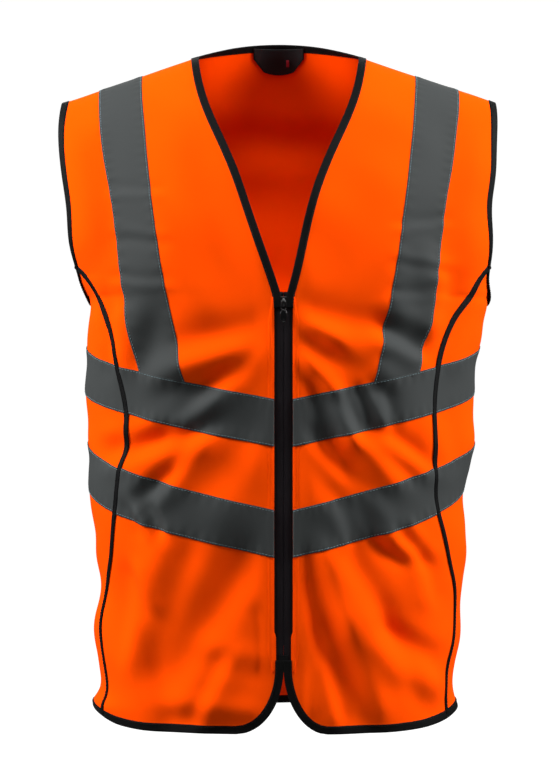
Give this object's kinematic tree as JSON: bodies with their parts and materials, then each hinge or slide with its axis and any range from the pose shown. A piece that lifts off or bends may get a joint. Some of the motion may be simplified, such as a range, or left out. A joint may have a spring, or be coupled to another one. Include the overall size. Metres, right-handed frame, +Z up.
{
  "type": "high visibility vest",
  "caption": "Sleeveless high visibility vest with a front zip, bound edges, piped side panels and reflective tapes round the body and over the shoulders.",
  "frame": {"origin": "midway between the neck ends of the two shoulder seams, where the vest hangs on the wearer's shoulders", "axes": "+Z up, the front of the vest faces -Y, +X is the wearer's left"},
  "size_m": [0.475, 0.2764, 0.7488],
  "materials": {
    "shell_fabric": "fluorescent orange knit polyester, soft sheen",
    "reflective_tape": "dark grey retroreflective glass-bead fabric",
    "binding_tape": "black polyester binding, fine rib",
    "zip_fabric": "black woven zip tape",
    "zip_coil": "black nylon coil",
    "zip_metal": "black enamelled zinc",
    "zip_plastic": "black moulded nylon",
    "clear_film": "stiff clear film",
    "label_fabric": "black woven label, blank",
    "size_fabric": "red woven tab, blank",
    "care_fabric": "white woven care label, blank"
  },
  "bodies": {
    "garment": {"front_panel_left": "shell_fabric", "front_panel_right": "shell_fabric", "side_panel_left": "shell_fabric", "side_panel_right": "shell_fabric", "back_panel": "shell_fabric", "shoulder_tape_left": "reflective_tape", "shoulder_tape_right": "reflective_tape", "upper_tape_front_left": "reflective_tape", "upper_tape_front_right": "reflective_tape", "upper_tape_side_left": "reflective_tape", "upper_tape_side_right": "reflective_tape", "lower_tape_front_left": "reflective_tape", "lower_tape_front_right": "reflective_tape", "lower_tape_side_left": "reflective_tape", "lower_tape_side_right": "reflective_tape", "upper_tape_back": "reflective_tape", "lower_tape_back": "reflective_tape", "neck_binding": "binding_tape", "armhole_binding_left": "binding_tape", "armhole_binding_right": "binding_tape", "hem_binding": "binding_tape", "front_piping_left": "binding_tape", "front_piping_right": "binding_tape", "back_piping_left": "binding_tape", "back_piping_right": "binding_tape", "zip_tape_left": "zip_fabric", "zip_tape_right": "zip_fabric", "zip_coil_left": "zip_coil", "zip_coil_right": "zip_coil", "top_stop_left": "zip_metal", "top_stop_right": "zip_metal", "insertion_pin": "zip_plastic", "box_pin": "zip_plastic", "retainer_box": "zip_plastic", "end_film_left": "clear_film", "end_film_right": "clear_film", "neck_label": "label_fabric", "size_tab": "size_fabric", "care_label": "care_fabric"},
    "slider": {"slider_body": "zip_metal", "slider_crown": "zip_metal"},
    "puller": {"puller": "zip_metal"}
  },
  "joints": [
    {"name": "zip_slide", "type": "slide", "parent": "garment", "child": "slider", "axis": [0, 0, -1], "range_m": [0, 0.355]},
    {"name": "puller_swing", "type": "hinge", "parent": "slider", "child": "puller", "pos_m": [0, -0.1379, -0.2691], "axis": [-1, 0, 0], "range_deg": [0, 160]}
  ]
}
